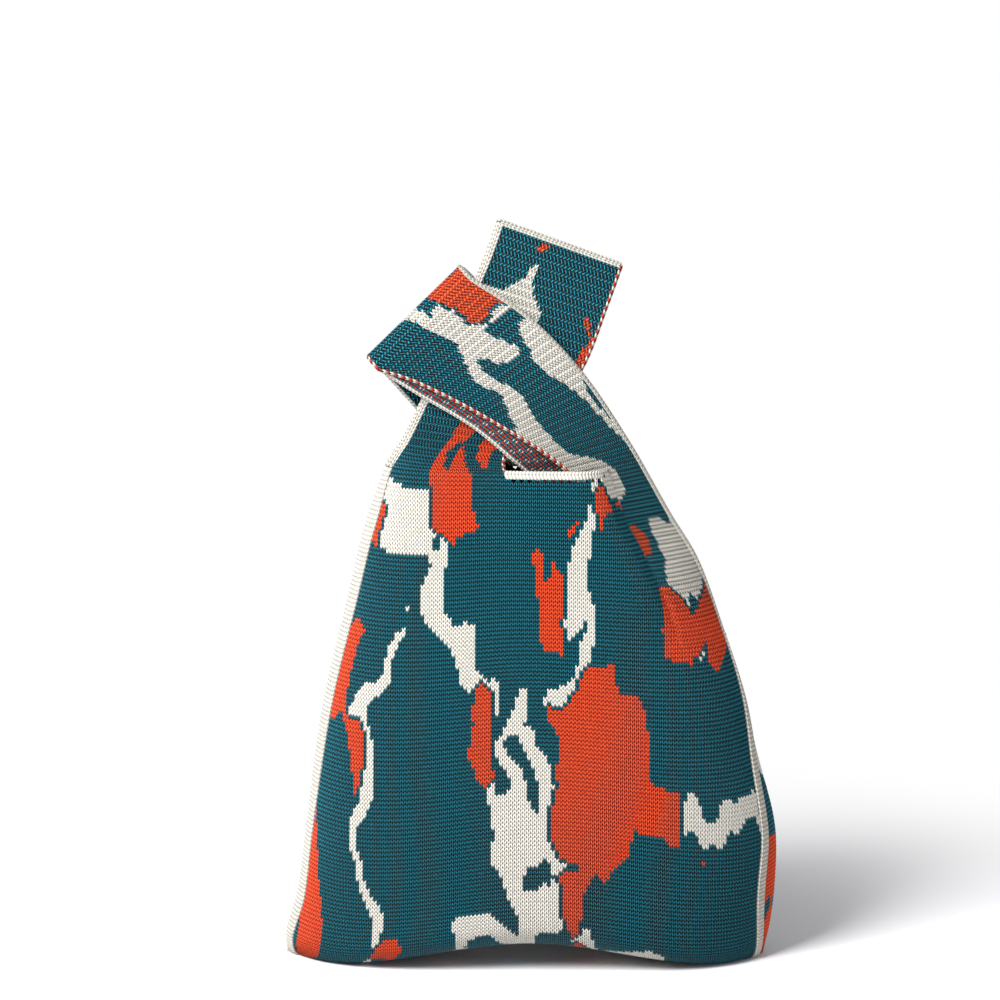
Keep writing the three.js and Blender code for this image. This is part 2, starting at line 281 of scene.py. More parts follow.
# How far in front of the widest line each side seam runs, as arc length at each height
SEAM_LEFT = [(0, 4), (20, 5), (45, 4.6), (80, 4.2), (200, 4), (226, 2.5), (252, 0)]
SEAM_RIGHT = [(0, 6), (15, 11), (45, 17), (75, 14), (100, 8), (125, 2), (150, 0), (239, 0)]


def even_courses():
    """The v of every half course, at equal steps along the body's profile in the middle. The profile is
    read in finer steps towards the belly, where the underside turns fastest."""
    v = np.concatenate([BEND * (1 - np.linspace(1, 0, 3001) ** 8), np.linspace(BEND, 1, 1001)[1:]])
    steps = np.linalg.norm(np.diff(panel(-1, 0.5 + 0 * v, v), axis=0), axis=1)
    length = np.concatenate([[0], np.cumsum(steps)])
    return np.interp(np.linspace(0, length[-1], 2 * round(length[-1] / COURSE) + 1), length, v)


COLUMNS = (np.arange(4 * BODY_WALES + 1) / 4 - BODY_WALES / 2) * WALE
BODY_V = even_courses()
BODY_COURSES = len(BODY_V) // 2
BELLY_COURSE = int(np.searchsorted(BODY_V[::2], BEND))
COURSE_HEIGHTS = panel(-1, 0.5 + 0 * BODY_V[::2], BODY_V[::2])[:, 2]
SHOULDER_COURSE = int(np.searchsorted(COURSE_HEIGHTS, SHOULDER_HEIGHT))


def layer_y(count):
    """y of the front of a layer of knit at the crossing of the handles, 0 being the foremost."""
    return KNOT_FRONT + count * PITCH


FOLD_Y = layer_y(3) - GAP / 2
AXIS_Y = (layer_y(0) + layer_y(5) + FABRIC) / 2
ALONG = np.array([math.sin(TILT), 0, math.cos(TILT)])
ACROSS = np.array([math.cos(TILT), 0, -math.sin(TILT)])
FOLD_RUN = (CORNER_HIGH - CORNER_LOW) / np.linalg.norm(CORNER_HIGH - CORNER_LOW)
FOLD_OUT = np.array([-FOLD_RUN[2], 0, FOLD_RUN[0]])
TAIL_WAY = np.array([math.cos(TAIL_TURN), TAIL_LEAN, -math.sin(TAIL_TURN)])


def gradient_normals(grid):
    """Unit normals of a grid of points, from across times up."""
    normal = np.cross(np.gradient(grid, axis=1), np.gradient(grid, axis=0))
    return normal / np.maximum(np.linalg.norm(normal, axis=-1, keepdims=True), 1e-12)


# Knit. A grid of points has two rows to a course and four columns to a wale. For each of the four
# columns RELIEF says how far it stands out, as a share of the relief, and SLANT how far it is pushed
# along, in courses. Every other row stands out by COURSE_STEP more, the ones between by as much less.

RELIEF = np.array([-1.0, 0.55, -0.45, 0.55])
SLANT = np.array([0.34, 0.0, -0.34, 0.0])
COURSE_STEP = 0.14
YARN_UNEVEN = 0.05          # how much lighter or darker one stitch is than the next
TEAL_YARN, CREAM_YARN, ORANGE_YARN = 0, 1, 2
LEAD = 3                    # courses of its neighbour that a grid carries, so that stitches meet
YARNS = np.array([linear(code)[:3] for code in (TEAL, CREAM, ORANGE)])

# Where the pattern's flow turns to cream, and where it and a second noise turn it to orange
CREAM_HALF, CREAM_SPREAD = 0.13, 0.2
ORANGE_FROM, ORANGE_TO, ORANGE_BELOW = -0.34, 0.30, -0.20


def marbled(x, z, seed):
    """Yarn of each stitch: a flow that is bent by slower and faster noise. Cream lies along its zero line,
    orange beside it, and one stitch of teal wherever cream would touch orange."""
    x, z = x / MM, z / MM
    x = x + 15 * value_noise(x / 40, z / 52, seed + 1) + 5 * value_noise(x / 12, z / 18, seed + 2)
    z = z + 24 * value_noise(x / 44, z / 50, seed + 3) + 8 * value_noise(x / 12, z / 19, seed + 4)
    flow = value_noise(x / 35 + 0.5, z / 72, seed) + 0.22 * value_noise(x / 9, z / 24, seed + 5)
    other = value_noise(x / 28, z / 48, seed + 6) + 0.3 * value_noise(x / 8, z / 17, seed + 7)
    cream = np.abs(flow) < CREAM_HALF + CREAM_SPREAD * np.maximum(other, 0)
    orange = (flow > ORANGE_FROM) & (flow < ORANGE_TO) & (other < ORANGE_BELOW)
    kinds = np.where(orange, ORANGE_YARN, np.where(cream, CREAM_YARN, TEAL_YARN))
    pad = np.pad(kinds == ORANGE_YARN, 1)
    near = pad[:-2, 1:-1] | pad[2:, 1:-1] | pad[1:-1, :-2] | pad[1:-1, 2:]
    return np.where((kinds == CREAM_YARN) & near, TEAL_YARN, kinds)


def pattern(columns, start, courses, seed):
    """Yarns of the stitches over some of the body's columns, from course start on."""
    z = BOTTOM_RISE + (start + np.arange(courses) + 0.5) * COURSE
    return marbled(*np.meshgrid(COLUMNS[columns][2::4], z), seed)


def reverse_side(shape):
    """The strands between the teal loops on the fabric's wrong side: orange with a few cream ones."""
    row, col = np.indices(shape)
    return np.where((3 * row + 5 * col) % 7 == 0, CREAM_YARN, ORANGE_YARN)


def rim_faces(keep, wide, start):
    """Faces that close the fabric round the stitches in keep, from the outer face's grid of wide columns
    to the inner one's, whose points begin at start, with the number of each face's stitch."""
    wales = keep.shape[1]
    number = np.full(keep.shape, -1)
    number[keep] = np.arange(keep.sum())
    pad = np.pad(keep, 1)
    rims, stitches = [], []
    for side, gap in {"left": pad[1:-1, :-2], "right": pad[1:-1, 2:],
                      "down": pad[:-2, 1:-1], "up": pad[2:, 1:-1]}.items():
        r, c = np.nonzero(keep & ~gap)
        f, g = 2 * r * wide + 4 * c, start + r * (wales + 1) + c
        if side == "left":
            rim = [f, f + wide, f + 2 * wide, g + wales + 1, g]
        elif side == "right":
            rim = [f + 4 + 2 * wide, f + 4 + wide, f + 4, g + 1, g + wales + 2]
        elif side == "down":
            rim = [f + 4, f + 3, f + 2, f + 1, f, g, g + 1]
        else:
            f, g = f + 2 * wide, g + wales + 1
            rim = [f, f + 1, f + 2, f + 3, f + 4, g + 1, g]
        rims += np.stack(rim, axis=1).tolist()
        stitches.append(number[r, c])
    return rims, np.concatenate(stitches)


def knit(name, grid, kinds, keep=None, back=None, thickness=FABRIC, relief=0.42 * MM, flip=False, seed=1):
    """Knitted fabric as a closed mesh. On the outer face each stitch has two legs that stand up as ridges
    and rise towards each other's far ends, which makes the V; the inner face has one quad to a stitch.
    The normal is across times up, or the other way with flip. kinds says the yarn of each stitch, back
    the yarn on the inner face and keep which stitches are there."""
    lines, wide = grid.shape[:2]
    courses, wales = lines // 2, wide // 4
    phase = np.arange(wide) % 4
    normal = gradient_normals(grid) * (-1 if flip else 1)
    up = np.gradient(grid, axis=0) * 2
    half = np.where(np.arange(lines) % 2 == 1, COURSE_STEP, -COURSE_STEP)[:, None]
    lift = (RELIEF[phase][None, :] + half) * relief
    outer = grid + up * SLANT[phase][None, :, None] + normal * lift[..., None]
    inner = (grid - normal * thickness)[::2, ::4]

    keep = np.ones((courses, wales), bool) if keep is None else keep
    row, col = np.nonzero(keep)
    base = 2 * row * wide + 4 * col
    quads = np.concatenate([
        np.stack([a, a + 1, a + wide + 1, a + wide], axis=1)
        for a in (base + m * wide + k for m in range(2) for k in range(4))])
    start = lines * wide
    b = start + row * (wales + 1) + col
    backs = np.stack([b, b + wales + 1, b + wales + 2, b + 1], axis=1)
    rims, rim_stitch = rim_faces(keep, wide, start)

    points = np.concatenate([outer.reshape(-1, 3), inner.reshape(-1, 3)])
    points[:, 2] = np.maximum(points[:, 2], 0)
    used = np.zeros(len(points), bool)
    used[quads] = True
    used[backs] = True
    place = np.cumsum(used) - 1
    faces = place[quads].tolist() + place[backs].tolist() + [[int(place[i]) for i in rim] for rim in rims]
    if flip:
        faces = [face[::-1] for face in faces]
    mesh = bpy.data.meshes.new(name)
    mesh.from_pydata(points[used].tolist(), [], faces)

    shade = 1 + YARN_UNEVEN * np.random.RandomState(seed).uniform(-1, 1, (courses, wales, 1))
    front = (YARNS[kinds] * shade)[row, col]
    inside = front if back is None else (YARNS[back] * shade)[row, col]
    colour = np.concatenate([np.tile(front, (8, 1)), inside, front[rim_stitch]])
    right_side = np.ones(len(colour))
    if back is not None:
        right_side[8 * len(row):9 * len(row)] = 0
    corners = np.array([len(face) for face in faces])
    colour = np.repeat(np.c_[colour, right_side], corners, axis=0)
    mesh.attributes.new("yarn", "FLOAT_COLOR", "CORNER").data.foreach_set("color", colour.ravel())

    # The UV map counts legs across and courses up
    s, t = np.meshgrid(np.arange(wide) / 2, np.arange(lines) / 2)
    both = [np.concatenate([c.ravel(), c[::2, ::4].ravel()])[used] for c in (s, t)]
    corner = np.concatenate([np.asarray(face) for face in faces])
    mesh.uv_layers.new(name="stitches").uv.foreach_set("vector", np.stack(both, axis=1)[corner].ravel())
    mesh.polygons.foreach_set("use_smooth", np.arange(len(faces)) < len(faces) - len(rims))
    mesh.update()

    # The grid's own normals, so that no line shows where two pieces meet
    facing = gradient_normals(outer) * (-1 if flip else 1)
    facing = np.concatenate([facing.reshape(-1, 3), -normal[::2, ::4].reshape(-1, 3)])[used]
    mesh.normals_split_custom_set_from_vertices(facing.tolist())
    piece = bpy.data.objects.new(name, mesh)
    bpy.context.scene.collection.objects.link(piece)
    return piece


def centres(grid):
    """The middle point of every stitch."""
    return grid[1::2, 2::4]


def dress(piece, material, slot, nodes, body="bag", bend=None):
    """Finish a piece: its material and its place in the frame; the solids that it stands for are hidden."""
    piece.data.materials.append(material)
    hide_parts(*nodes)
    if bend:
        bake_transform(piece)
    else:
        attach(piece, body)
    return piece


def node_adder(tree):
    """Empty a node tree and give a short way to add a node to it, with its inputs as a list or by key.
    An input is a plain value, a socket, or a node for its first output."""
    tree.nodes.clear()

    def add(kind, inputs=(), **settings):
        node = tree.nodes.new("ShaderNode" + kind)
        for key, value in settings.items():
            setattr(node, key, value)
        for key, value in inputs.items() if isinstance(inputs, dict) else enumerate(inputs):
            if isinstance(value, bpy.types.Node):
                value = value.outputs[0]
            if isinstance(value, bpy.types.NodeSocket):
                tree.links.new(value, node.inputs[key])
            else:
                node.inputs[key].default_value = value
        return node

    return add


# Yarn. A kind of stitch is (beads, leg power, course power, groove, peak). A stitch shows as two beads,
# its legs, or where it is drawn together as one bead that leans over by half a stitch. The powers say
# how wide the grooves between beads and courses are, groove how high and how light the grooves are,
# and peak how high and how light the top of a bead is. The height is also painted into the colour:
# painted shade in the grooves, a painted highlight on the bead tops, and where two grooves meet a hole
# painted dark.

PLAIN_STITCH, DRAWN_STITCH = (2, 1.4, 1.4, 0.8, 1.1), (1, 0.8, 1.1, 0.55, 1.4)
BORDER_STITCH, BOUND_STITCH = (2, 1.0, 0.8, 0.55, 0.7), (2, 0.25, 1.1, 0.55, 1.0)
DRAWING_IN = 14             # courses over which the stitches of a handle are drawn together
LEG_RISE = 0.18             # how far a leg rises over its width, in courses
BEAD_POWER = 2.5            # how steeply a bead falls off to the holes
FIBRE_SCALE = 2400.0        # to a metre; fibres are too fine to show and are drawn 0.4 mm wide
LIGHTEST = (0.66, 0.64, 0.585)    # linear; clean cream cotton in full light gets no lighter


def yarn_material(name, depth, stitches, drawn=None):
    """Spun yarn in stitches. Combed cotton yarn: matt with a faint lustre on top of each leg, roughness
    0.6, IOR 1.53 as cellulose. The drawn kind of stitch takes over in the first courses of a handle. The
    base colour carries painted shade in the grooves and holes and a painted highlight on each bead."""
    material = bpy.data.materials.new(name)
    material.use_nodes = True
    add = node_adder(material.node_tree)

    yarn = add("Attribute", attribute_name="yarn")
    split = add("SeparateXYZ", [add("UVMap", uv_map="stitches")])
    x, y = split.outputs[0], split.outputs[1]

    def beaded(beads, leg_power, course_power, groove_height_and_shade, peak_height_and_highlight):
        """Height of the yarn in a stitch, from 0 in a hole to the peak on top of a bead; the same height
        sets the painted shade and painted highlight. Of one sine wave across and one along, each to a
        power, it is the product, plus the groove value times what either has without the other."""
        if beads == 1:
            across, along = add("Math", [x, y], operation="ADD"), y
        else:
            rise = add("Math", [x, 1.0], operation="PINGPONG")
            across, along = x, add("Math", [rise, -LEG_RISE, y], operation="MULTIPLY_ADD")
        waves = []
        for way, turn, power in ((across, math.pi * beads / 2, leg_power), (along, math.pi, course_power)):
            wave = add("Math", [add("Math", [way, turn], operation="MULTIPLY")], operation="SINE")
            wave = add("Math", [wave], operation="ABSOLUTE")
            waves.append(add("Math", [wave, power], operation="POWER"))
        ridge = add("Math", waves, operation="MULTIPLY")
        bead = add("Math", [add("Math", waves, operation="ADD"), ridge], operation="SUBTRACT")
        top = add("Math", [ridge, 1 - groove_height_and_shade], operation="MULTIPLY")
        both = add("Math", [bead, groove_height_and_shade, top], operation="MULTIPLY_ADD")
        return add("Math", [add("Math", [both, BEAD_POWER], operation="POWER"), peak_height_and_highlight], operation="MULTIPLY")

    loop = beaded(*stitches)
    if drawn:
        past = add("Math", [y, LEAD + 1], operation="SUBTRACT")
        share = add("Math", [past, 1 / DRAWING_IN], operation="MULTIPLY", use_clamp=True)
        loop = add("Mix", {0: share, 2: loop, 3: beaded(*drawn)}, data_type="FLOAT")

    # Wrong side: a slanted oval teal loop to each stitch, with strands between the rows of loops
    wale = add("Math", [x, 0.5], operation="MULTIPLY")
    ox = add("Math", [add("Math", [wale], operation="FRACT"), 0.5], operation="SUBTRACT")
    level = add("Math", [add("Math", [y], operation="FRACT"), 0.5], operation="SUBTRACT")
    oy = add("Math", [ox, -0.3, level], operation="MULTIPLY_ADD")
    squares = [add("Math", [add("Math", [way, narrow], operation="MULTIPLY"), 2.0], operation="POWER")
               for way, narrow in ((ox, 1.95), (oy, 2.5))]
    oval = add("Math", squares, operation="ADD")
    within = add("Math", [1.0, oval], operation="SUBTRACT")
    loop_here = add("Math", [within, 6.0], operation="MULTIPLY", use_clamp=True)
    rounded = add("Math", [1.15, oval], operation="SUBTRACT", use_clamp=True)
    dome = add("Math", [rounded, 0.75], operation="MULTIPLY")
    wave = add("Math", [add("Math", [x, math.pi / 2], operation="MULTIPLY")], operation="SINE")
    strand = add("Math", [add("Math", [wave], operation="ABSOLUTE"), 0.45], operation="MULTIPLY")
    wrong = add("Math", [add("Math", [dome, strand], operation="MAXIMUM"), 1.3], operation="MULTIPLY")

    # The attribute's alpha is 1 on the right side and 0 on the wrong side
    right, own = yarn.outputs["Alpha"], yarn.outputs["Color"]
    behind = add("Mix", {0: loop_here, 6: own, 7: linear(TEAL)}, data_type="RGBA").outputs[2]
    colour = add("Mix", {0: right, 6: behind, 7: own}, data_type="RGBA").outputs[2]
    relief = add("Mix", {0: right, 2: wrong, 3: loop}, data_type="FLOAT")

    place = add("TexCoord").outputs["Object"]
    fibre = add("TexNoise", {"Vector": place, "Scale": FIBRE_SCALE, "Detail": 2.0})
    height = add("Math", [fibre, 0.25, relief], operation="MULTIPLY_ADD")
    bump = add("Bump", {"Height": height, "Distance": depth, "Strength": 1.0})
    fuzz = add("Math", [fibre, 0.5, 0.78], operation="MULTIPLY_ADD")
    # The relief scales the colour: painted shade in grooves and holes, painted highlight on bead tops,
    # mottled by the fibre noise
    painted_shading = add("Math", [add("Math", [relief, 0.03], operation="ADD"), fuzz], operation="MULTIPLY")

    # Dark yarn has deeper shade between the stitches, as no light is passed on there
    channels = add("SeparateColor", [colour])
    warm = add("Math", [channels.outputs[0], channels.outputs[1]], operation="ADD")
    fairness = add("Math", [warm, 0.6], operation="MULTIPLY", use_clamp=True)
    deep = add("Math", [add("Math", [painted_shading, 3.0], operation="POWER"), 1.55], operation="MULTIPLY")
    fair = add("Math", [add("Math", [painted_shading, 0.6], operation="POWER"), 0.92], operation="MULTIPLY")
    painted_shading = add("Mix", {0: fairness, 2: deep, 3: fair}, data_type="FLOAT")
    shaded = add("VectorMath", {0: colour, "Scale": painted_shading}, operation="SCALE")
    shaded = add("VectorMath", [shaded, LIGHTEST], operation="MINIMUM")
    surface = add("BsdfPrincipled", {
        "Base Color": shaded, "Roughness": 0.6, "IOR": 1.53, "Specular IOR Level": 0.15,
        "Sheen Weight": 0.03, "Sheen Roughness": 0.4, "Normal": bump})
    add("OutputMaterial", [surface])
    return material


knit_yarn = yarn_material("jacquard knit", 0.6 * MM, PLAIN_STITCH)
ribbed_yarn = yarn_material("jacquard knit, drawn across", 0.55 * MM, PLAIN_STITCH, DRAWN_STITCH)
border_yarn = yarn_material("cream border", 0.5 * MM, BORDER_STITCH)
bound_yarn = yarn_material("bound-off edge", 0.5 * MM, BOUND_STITCH)


# Grids of the knit, each on the fabric's outer face

front_body, back_body = Body(-1, BODY_V), Body(1, BODY_V)
body_z = front_body.height()
front_first = front_body.left_end + through(SEAM_LEFT, body_z)
front_last = front_body.right_end - through(SEAM_RIGHT, body_z)
back_first = back_body.left_end - through(SEAM_LEFT, body_z)
back_last = back_body.right_end + through(SEAM_RIGHT, body_z)
body_grids = {side: body.at(np.broadcast_to(COLUMNS, (len(BODY_V), len(COLUMNS))))
              for side, body in ((-1, front_body), (1, back_body))}


def column_at(arc):
    """The first column of the wale that starts nearest to an arc length."""
    return 4 * int(round(arc / WALE + BODY_WALES / 2))


def width_rows(low, high, wales):
    """Straight rows from the curve low to the curve high, with four columns to a wale."""
    share = np.arange(4 * wales + 1) / 4 / wales
    return low[:, None, :] + (high - low)[:, None, :] * share[None, :, None]


def short_half(side):
    """One half of the short handle up to its fold. It grows out of the body's shoulder, wale for wale;
    next to the crest its root lies inside the panel. Its edges run through points (x, z, share), where
    share is how far the depth has gone from the root's to the handle's own layer."""
    last = (front_last if side < 0 else back_last)[2 * SHOULDER_COURSE]
    to = column_at(last)
    start = to - 4 * SHORT_WALES
    root = body_grids[side][2 * SHOULDER_COURSE, start:to + 1].copy()
    root[:, 1] -= side * 5 * MM * smooth(69 * MM, 61 * MM, root[:, 0])
    y = layer_y(0) if side < 0 else layer_y(1) + FABRIC
    edge_y = -1.8 * MM if side < 0 else 1.2 * MM
    high = curve([root[-1]] + [(x * MM, mix(edge_y, y, s), z * MM) for x, z, s in [
        (75, 183.4, 0.05), (62.1, 205, 0.25), (43, 238.7, 0.65), (21, 271.3, 0.97), (-2.8, 295.8, 1)]]
        + [CORNER_HIGH + [0, y, 0]])
    inner = {-1: [(43, 170, 0.1), (34, 192, 0.3), (24, 212, 0.6), (16.8, 226, 0.9), (-17.7, 249.5, 0.98),
                  (-52.8, 267.5, 1)],
             1: [(40, 170, 0.15), (28, 190, 0.4), (14, 212, 0.8), (-6, 229.5, 1.01), (-26.4, 246.6, 1),
                 (-52.8, 262.5, 1)]}[side]
    low = curve([root[0]] + [(x * MM, mix(root[0, 1], y, s), z * MM) for x, z, s in inner]
                + [CORNER_LOW + [0, y, 0]])
    count = 2 * SHORT_COURSES + 1
    grid = width_rows(even(low, count), even(high, count), SHORT_WALES)
    bow = root - grid[0]
    return start, grid + bow[None] * (1 - smooth(0, 0.3, np.linspace(0, 1, count)))[:, None, None]


def turned_half(side):
    """One half of the short handle from its fold to its end: half a turn round the fold line, then
    straight on behind the long handle, drifting off it."""
    u = np.arange(4 * SHORT_WALES + 1) / 4 / SHORT_WALES
    radius = AXIS_Y - layer_y(0) if side < 0 else AXIS_Y - layer_y(1) - FABRIC
    turn = OUTER_TURN if side < 0 else INNER_TURN
    angle = np.linspace(0, math.pi, 2 * turn + 1)[:, None, None]
    line = CORNER_LOW + (CORNER_HIGH - CORNER_LOW) * u[None, :, None]
    rows = line + FOLD_OUT * radius * np.sin(angle)
    rows = rows + np.array([0, 1, 0]) * (AXIS_Y - radius * np.cos(angle))
    down = np.arange(1, 2 * TAIL_COURSES + 1)[:, None, None] / (2 * TAIL_COURSES) * TAIL_LENGTH
    return np.concatenate([rows[1:], rows[-1][None] + TAIL_WAY * down])


def long_half(side):
    """One half of the long handle from the neck to its end, wale for wale out of the panel."""
    body, first = (front_body, front_first[-1]) if side < 0 else (back_body, back_first[-1])
    neck_arc = np.interp(NECK_LEFT - MM, *body.face(-1))
    start, to = column_at(first), column_at(neck_arc)
    root = body_grids[side][-1, start:to + 1]
    y = layer_y(2) if side < 0 else layer_y(3) + FABRIC
    fold, tip = FOLD_LEFT + [0, y, 0], FOLD_LEFT + ALONG * END_LENGTH + [0, y, 0]
    wide = ACROSS * HANDLE_WIDTH
    left = curve([root[0], np.array([-50.5 * MM, mix(root[0, 1], y, 0.6), 252.3 * MM]), fold, tip])
    shares = (0.7, 0.97, 1, 1) if side < 0 else (0.4, 0.7, 0.85, 0.94)
    right = curve([root[-1]] + [np.array([x * MM, mix(root[-1, 1], y, s), z * MM]) for (x, z), s in zip(
        [(-13.2, 231), (-10.8, 236), (-2.5, 243), (5, 250)], shares)]
        + [np.array([21.8 * MM, y, 272 * MM]), fold + wide, tip + wide])
    count = 2 * (LONG_COURSES + END_COURSES) + 1
    grid = width_rows(even(left, count), even(right, count), (to - start) // 4)
    bow = root - grid[0]
    return start, grid + bow[None] * (1 - smooth(0, 0.22, np.linspace(0, 1, count)))[:, None, None]


# Pieces of knit

tail_bend = ("bag", "short_handle_tail",
             tuple((CORNER_LOW + CORNER_HIGH) / 2 + [0, layer_y(0) + 3 * MM, 0]),
             tuple((CORNER_LOW + CORNER_HIGH) / 2 + [0, layer_y(4), 0]))
flop = FOLD_LEFT + ACROSS * HANDLE_WIDTH / 2 + [0, FOLD_Y, 0]
long_bend = ("bag", "long_handle_end", tuple(flop - ALONG * 3 * MM), tuple(flop + ALONG * 3 * MM))


def rows_kept(shape, first, last):
    """Mask that keeps whole courses from first up to last."""
    course = np.arange(shape[0])[:, None]
    return np.broadcast_to((course >= first) & (course < last), shape)


SEAM_COVER = 0.8 * MM       # from the middle of a side seam to the panel under it
CREST_HANG = 5 * MM         # by which the panel hangs over its crest


def panel_knit(side, title, seed, long_columns, long_grid):
    """A panel and its underside. The grid has one more course above them that isn't shown; where the long
    handle grows out of the panel it is the handle's first one."""
    grid = body_grids[side]
    first, last = (front_first, front_last) if side < 0 else (back_first, back_last)
    over = np.stack([2 * grid[-1] - grid[-2], 3 * grid[-1] - 2 * grid[-2]])
    over[:, long_columns] = long_grid[1:3]
    tall = np.concatenate([grid, over])

    # Up to the side seams, and above the shoulder up to the crest
    middle = centres(grid)
    arcs = np.broadcast_to(COLUMNS[2::4], middle.shape[:2])
    course = np.arange(BODY_COURSES)[:, None]
    keep = (arcs > first[1::2, None] + SEAM_COVER) & (arcs < last[1::2, None] - SEAM_COVER)
    past = middle[..., 0] - through(CREST, middle[..., 2])
    keep &= (course < SHOULDER_COURSE) | (past < CREST_HANG)

    # Eyelets in every other wale under the neck band
    neck = (middle[-2, :, 0] > NECK_LEFT + 2 * MM) & (past[-2] < -2 * MM)
    keep[-2, neck & (np.arange(BODY_WALES) % 2 == 0)] = False

    kinds = np.pad(pattern(slice(None), 0, BODY_COURSES, seed), ((0, 1), (0, 0)))
    shown = np.pad(keep, ((0, 1), (0, 0)))
    parts = {"underside": (0, BELLY_COURSE), "panel": (BELLY_COURSE, BODY_COURSES)}
    for part, (low, high) in parts.items():
        piece = knit(f"{title}_{part}_knit", tall, kinds, shown & rows_kept(kinds.shape, low, high),
                     reverse_side(kinds.shape), flip=side > 0, seed=seed)
        dress(piece, knit_yarn, "jacquard_knit", [f"{title}_{part}"])


def handle_piece(name, grid, kinds, first, last, side, seed, nodes, bend=None):
    """The courses from first up to last of a handle's grid."""
    piece = knit(name, grid, kinds, rows_kept(kinds.shape, first, last), reverse_side(kinds.shape),
                 flip=side > 0, seed=seed)
    dress(piece, ribbed_yarn, "jacquard_knit", nodes, bend=bend)


def long_handle_knit(side, title, seed, columns, half):
    """A half of the long handle, with its end."""
    grid = np.concatenate([body_grids[side][-1 - 2 * LEAD:-1, columns], half])
    courses = len(grid) // 2
    kinds = pattern(columns, BODY_COURSES - LEAD, courses, seed)
    handle_piece(f"long_handle_{title}_knit", grid, kinds, LEAD, courses, side, seed + 1,
                 [f"long_handle_{title}", f"long_handle_end_{title}"], long_bend)


def short_handle_knit(side, title, seed, columns, half, tail):
    """A half of the short handle up to its fold, and the same half round the fold and on to its end."""
    lead = body_grids[side][2 * (SHOULDER_COURSE - LEAD):2 * SHOULDER_COURSE, columns]
    grid = np.concatenate([lead, half, tail])
    courses = len(grid) // 2
    kinds = pattern(columns, SHOULDER_COURSE - LEAD, courses, seed)
    turn = LEAD + SHORT_COURSES
    handle_piece(f"short_handle_{title}_knit", grid, kinds, LEAD, turn, side, seed + 2,
                 [f"short_handle_{title}"])
    place = "outer" if side < 0 else "inner"
    handle_piece(f"short_handle_tail_{place}_knit", grid, kinds, turn, courses, side, seed + 2,
                 [f"short_handle_fold_{place}", f"short_handle_tail_{place}"], tail_bend)


def whole_side(side, title, seed):
    """All the knit of one side of the bag. Returns the grids of the long handle's half, of the short
    handle's half up to its fold, and of the rest of that half."""
    long_start, long_grid = long_half(side)
    short_start, short_grid = short_half(side)
    tail_grid = turned_half(side)
    long_columns = slice(long_start, long_start + long_grid.shape[1])
    short_columns = slice(short_start, short_start + short_grid.shape[1])
    panel_knit(side, title, seed, long_columns, long_grid)
    long_handle_knit(side, title, seed, long_columns, long_grid)
    short_handle_knit(side, title, seed, short_columns, short_grid, tail_grid)
    return long_grid, short_grid, np.concatenate([short_grid[-1:], tail_grid])


long_front, short_front, tail_front = whole_side(-1, "front", FRONT_SEED)
long_back, short_back, tail_back = whole_side(1, "back", BACK_SEED)


# Seams, bands and edges

def plain(courses, wales):
    """Cream in every stitch."""
    return np.full((courses, wales), CREAM_YARN)


def candy(courses, wales):
    """Orange and cream by turns, one stitch after the other along the edge."""
    row, col = np.indices((courses, wales))
    return np.where((row + col) % 2 == 0, ORANGE_YARN, CREAM_YARN)


def body_seam(name, line, courses, wales, widths):
    """Cream side seam on the body: a few wales centred on the join, 0.8 mm proud of the knit. Its width
    is given by height."""
    width = through(widths, body_z)[:, None]
    s = np.linspace(-0.5, 0.5, 4 * wales + 1)
    grid = front_body.at(line[:, None] + s[None, :] * width)[:2 * courses + 1]
    grid = grid + gradient_normals(grid) * 0.8 * MM
    piece = knit(f"{name}_knit", grid, plain(courses, wales), thickness=1.4 * MM)
    return dress(piece, border_yarn, "cream_border", [name])


body_seam("left_side_seam", front_first, BODY_COURSES, 6, [(0, 8), (30, 10.8), (200, 10.8), (226, 8)])
body_seam("right_side_seam", front_last, SHOULDER_COURSE + 2, 4,
          [(0, 5), (100, 5), (130, 4.4), (156, 3.4), (240, 3.4)])


def unit(vectors):
    """Vectors brought to length 1."""
    return vectors / np.maximum(np.linalg.norm(vectors, axis=-1, keepdims=True), 1e-9)


def outwards(edge, inner):
    """Unit directions in the picture plane from the fabric's inner line over its edge."""
    way = edge - inner
    along = np.gradient(edge, axis=0)
    along /= np.linalg.norm(along, axis=-1, keepdims=True)
    way = way - along * (way * along).sum(axis=-1, keepdims=True)
    way[:, 1] = 0
    return way / np.linalg.norm(way, axis=-1, keepdims=True)


def over_edge(name, front, back, out, nodes, kinds_of, wales=4, reach=2.0 * MM, skirt=1.6 * MM,
              proud=0.5 * MM, thickness=0.9 * MM, relief=0.3 * MM, into=None, material=border_yarn,
              **place):
    """A knitted strip over an edge: down the front face, round the edge and down the back face. front
    and back are the edge's lines on the two outer faces, out the direction away from the fabric and
    into the directions in which the two faces run from the edge."""
    quarter = reach * math.pi / 2
    s = np.linspace(-1, 1, 4 * wales + 1) * (quarter + skirt)
    angle = np.clip(s, -quarter, quarter) / reach
    flat = np.maximum(np.abs(s) - quarter, 0)[None, :, None]
    half = (back - front) / 2
    size = np.linalg.norm(half, axis=-1, keepdims=True)
    half = half / size * (size + proud)
    front_in, back_in = (-out, -out) if into is None else into
    grid = (front + back)[:, None, :] / 2 + out[:, None, :] * reach * np.cos(angle)[None, :, None]
    grid = grid + half[:, None, :] * np.sin(angle)[None, :, None]
    grid = grid + np.where(s[None, :, None] < 0, front_in[:, None, :], back_in[:, None, :]) * flat
    outward = grid - ((front + back) / 2 - out * skirt)[:, None, :]
    flip = float((gradient_normals(grid) * outward).sum()) < 0
    kinds = kinds_of((len(front) - 1) // 2, wales)
    piece = knit(name, grid, kinds, thickness=thickness, relief=relief, flip=flip)
    return dress(piece, material, "cream_border", nodes, **place)


def inside_of(column):
    """The column a little further in than the first or last one of a grid."""
    return 5 if column == 0 else column - 5


